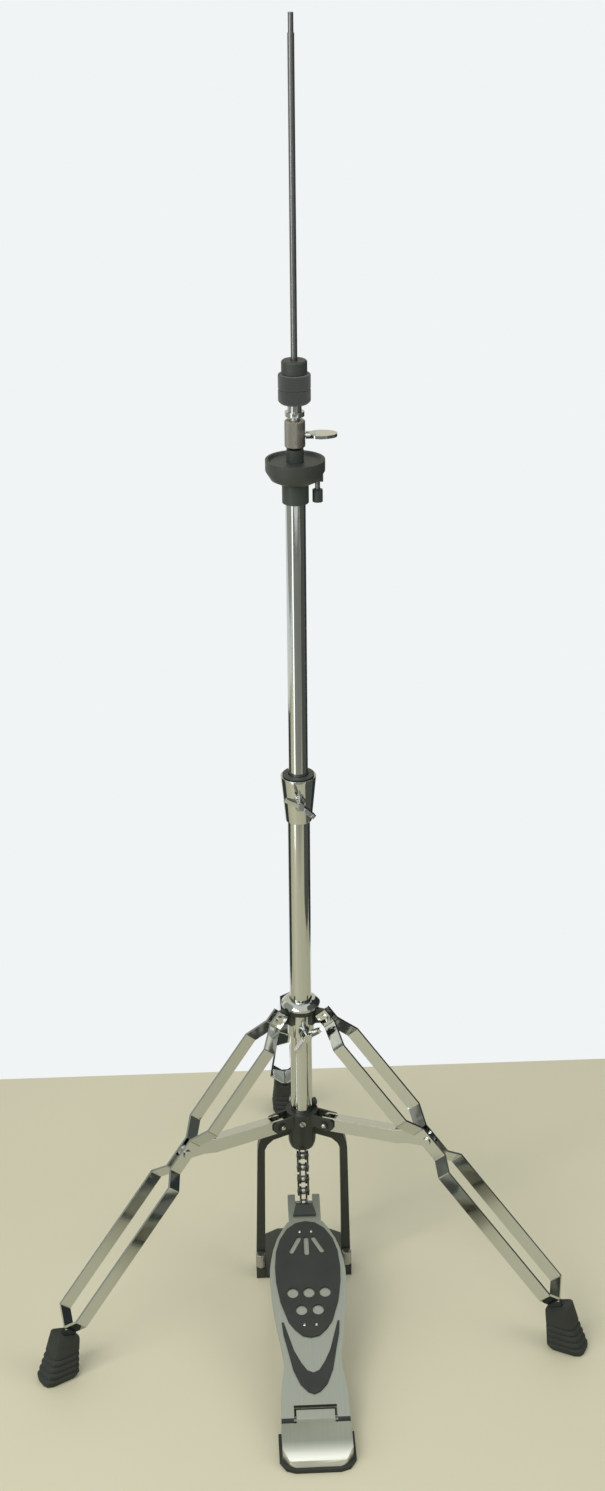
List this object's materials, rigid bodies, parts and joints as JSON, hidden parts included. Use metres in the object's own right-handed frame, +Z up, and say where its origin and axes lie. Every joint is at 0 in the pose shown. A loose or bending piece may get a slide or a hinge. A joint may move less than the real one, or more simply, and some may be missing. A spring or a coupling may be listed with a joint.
{
  "type": "hi-hat stand",
  "caption": "Chrome hi-hat stand with a foot pedal, folding tripod of paired strips, telescopic tube, pull rod, cymbal seat and an upside-down clutch",
  "frame": {"origin": "underside of the base plate on the axis of the tubes, on the floor", "axes": "+Z up along the tubes, +Y away from the player so that the pedal's heel points to -Y, +X to the player's right"},
  "size_m": [0.5687, 0.6344, 1.3085],
  "materials": {
    "chrome": "bright chrome plate on pressed and drawn steel",
    "dark_steel": "zinc plated steel, slightly dulled",
    "spring_steel": "oiled spring wire",
    "satin_nickel": "fine knurl, satin nickel plated",
    "black_paint": "black satin paint on cast and pressed metal",
    "black_plastic": "moulded black plastic, fine matt grain",
    "black_rubber": "moulded black rubber",
    "black_felt": "pressed black felt",
    "brushed_aluminium": "cast aluminium, brushed along its length"
  },
  "bodies": {
    "frame": {"lower_tube": "chrome", "pedal_frame": "black_paint", "base_plate": "black_paint", "tie_rod_left": "black_paint", "tie_rod_right": "black_paint", "brace_bracket": "black_paint", "hub_screw": "dark_steel", "height_clamp": "chrome", "clamp_bushing": "black_plastic", "spring_seat": "black_plastic", "return_spring": "spring_steel", "heel_plate": "brushed_aluminium", "heel_rubber": "black_rubber", "heel_pin": "dark_steel"},
    "upper": {"upper_tube": "chrome", "seat_holder": "black_plastic"},
    "seat": {"seat_cup": "black_plastic", "seat_sleeve": "black_plastic"},
    "tilt_screw": {"tilt_screw": "black_plastic"},
    "clutch": {"clutch_body": "satin_nickel", "clutch_stem": "chrome", "clutch_ring_nut": "chrome", "clutch_felt_1": "black_felt", "clutch_felt_2": "black_felt", "clutch_end_nut": "black_plastic"},
    "clutch_wing": {"clutch_wing_bolt": "chrome"},
    "rod": {"pull_rod_upper": "dark_steel", "pull_rod_lower": "dark_steel", "rod_coupler": "dark_steel", "spring_cap": "black_plastic", "rod_clevis": "dark_steel"},
    "chain": {"chain_link_1": "dark_steel", "chain_link_2": "dark_steel", "chain_link_3": "dark_steel", "chain_link_4": "dark_steel", "chain_link_5": "dark_steel"},
    "pedal": {"footboard": "brushed_aluminium", "footboard_pad": "black_rubber", "footboard_chevron": "black_rubber", "toe_block": "black_plastic", "toe_pin": "dark_steel"},
    "collar": {"leg_collar": "chrome", "leg_lugs": "black_paint"},
    "collar_wing": {"collar_wing_bolt": "chrome"},
    "height_wing": {"height_wing_bolt": "chrome"},
    "knob": {"tension_knob": "black_plastic"},
    "spur_left": {"spur_left": "dark_steel"},
    "spur_right": {"spur_right": "dark_steel"},
    "brace_1": {"brace_1": "chrome"},
    "brace_2": {"brace_2": "chrome"},
    "brace_3": {"brace_3": "chrome"},
    "leg_1": {"leg_1_strip_a": "chrome", "leg_1_strip_b": "chrome", "foot_1": "black_rubber"},
    "leg_2": {"leg_2_strip_a": "chrome", "leg_2_strip_b": "chrome", "foot_2": "black_rubber"},
    "leg_3": {"leg_3_strip_a": "chrome", "leg_3_strip_b": "chrome", "foot_3": "black_rubber"}
  },
  "joints": [
    {"name": "pedal_press", "type": "hinge", "parent": "frame", "child": "pedal", "pos_m": [0, -0.256, 0.0165], "axis": [-1, 0, 0], "range_deg": [0, 9.5], "stiffness_Nm_per_rad": 30, "springref_deg": -8.59},
    {"name": "rod_slide", "type": "slide", "parent": "frame", "child": "rod", "axis": [0, 0, -1], "range_m": [0, 0.0356], "deforming": ["return_spring"]},
    {"name": "chain_swing", "type": "hinge", "parent": "rod", "child": "chain", "pos_m": [0, 0, 0.16281], "axis": [1, 0, 0], "range_deg": [0, 11.2]},
    {"name": "upper_tube_slide", "type": "slide", "parent": "frame", "child": "upper", "axis": [0, 0, 1], "range_m": [-0.15, 0.05]},
    {"name": "seat_tilt", "type": "hinge", "parent": "upper", "child": "seat", "pos_m": [0, 0, 0.905], "axis": [0, -1, 0], "range_deg": [0, 5]},
    {"name": "tilt_screw_turn", "type": "hinge", "parent": "seat", "child": "tilt_screw", "pos_m": [0.0204, 0, 0.89], "axis": [0, 0, 1], "range_deg": [0, 720]},
    {"name": "clutch_slide", "type": "slide", "parent": "upper", "child": "clutch", "axis": [0, 0, 1], "range_m": [0, 0.22]},
    {"name": "clutch_wing_turn", "type": "hinge", "parent": "clutch", "child": "clutch_wing", "pos_m": [0.0098, 0, 0.942], "axis": [1, 0, 0], "range_deg": [0, 360]},
    {"name": "height_wing_turn", "type": "hinge", "parent": "frame", "child": "height_wing", "pos_m": [0, -0.0193, 0.577], "axis": [0, -1, 0], "range_deg": [0, 360]},
    {"name": "knob_turn", "type": "hinge", "parent": "frame", "child": "knob", "pos_m": [0.01033, 0.00482, 0.2124], "axis": [0.9063, 0.4226, 0], "range_deg": [0, 360]},
    {"name": "spur_left_turn", "type": "hinge", "parent": "frame", "child": "spur_left", "pos_m": [-0.04665, -0.0116, 0.02], "axis": [0, 0, 1], "range_deg": [0, 720]},
    {"name": "spur_right_turn", "type": "hinge", "parent": "frame", "child": "spur_right", "pos_m": [0.04665, -0.0116, 0.02], "axis": [0, 0, 1], "range_deg": [0, 720]},
    {"name": "leg_fold", "type": "hinge", "parent": "frame", "child": "brace_1", "pos_m": [-0.00083, 0.02959, 0.2], "axis": [0.9996, 0.0279, 0], "range_deg": [0, 59]},
    {"name": "brace_2_fold", "type": "hinge", "parent": "frame", "child": "brace_2", "pos_m": [-0.02521, -0.01551, 0.2], "axis": [-0.524, 0.8517, 0], "range_deg": [0, 59]},
    {"name": "brace_3_fold", "type": "hinge", "parent": "frame", "child": "brace_3", "pos_m": [0.02604, -0.01408, 0.2], "axis": [-0.4756, -0.8796, 0], "range_deg": [0, 59]},
    {"name": "leg_1_turn", "type": "hinge", "parent": "brace_1", "child": "leg_1", "pos_m": [-0.00402, 0.14384, 0.21133], "axis": [-0.9996, -0.0279, 0], "range_deg": [0, 85.7]},
    {"name": "leg_2_turn", "type": "hinge", "parent": "brace_2", "child": "leg_2", "pos_m": [-0.12256, -0.0754, 0.21133], "axis": [0.524, -0.8517, 0], "range_deg": [0, 85.7]},
    {"name": "leg_3_turn", "type": "hinge", "parent": "brace_3", "child": "leg_3", "pos_m": [0.12658, -0.06844, 0.21133], "axis": [0.4756, 0.8796, 0], "range_deg": [0, 85.7]},
    {"name": "collar_slide", "type": "slide", "parent": "frame", "child": "collar", "axis": [0, 0, 1], "range_m": [0, 0.1316]},
    {"name": "collar_wing_turn", "type": "hinge", "parent": "collar", "child": "collar_wing", "pos_m": [0.0038, -0.01953, 0.312], "axis": [0.1908, -0.9816, 0], "range_deg": [0, 75]}
  ],
  "couplings": [
    {"joint": "rod_slide", "follows": "pedal_press", "m_per_rad": 0.214},
    {"joint": "chain_swing", "follows": "pedal_press", "ratio": 1.17},
    {"joint": "tilt_screw_turn", "follows": "seat_tilt", "ratio": 144},
    {"joint": "brace_2_fold", "follows": "leg_fold", "ratio": 1},
    {"joint": "brace_3_fold", "follows": "leg_fold", "ratio": 1},
    {"joint": "leg_1_turn", "follows": "leg_fold", "ratio": 1.4512},
    {"joint": "leg_2_turn", "follows": "leg_fold", "ratio": 1.4512},
    {"joint": "leg_3_turn", "follows": "leg_fold", "ratio": 1.4512},
    {"joint": "collar_slide", "follows": "leg_fold", "m_per_rad": 0.12771}
  ]
}
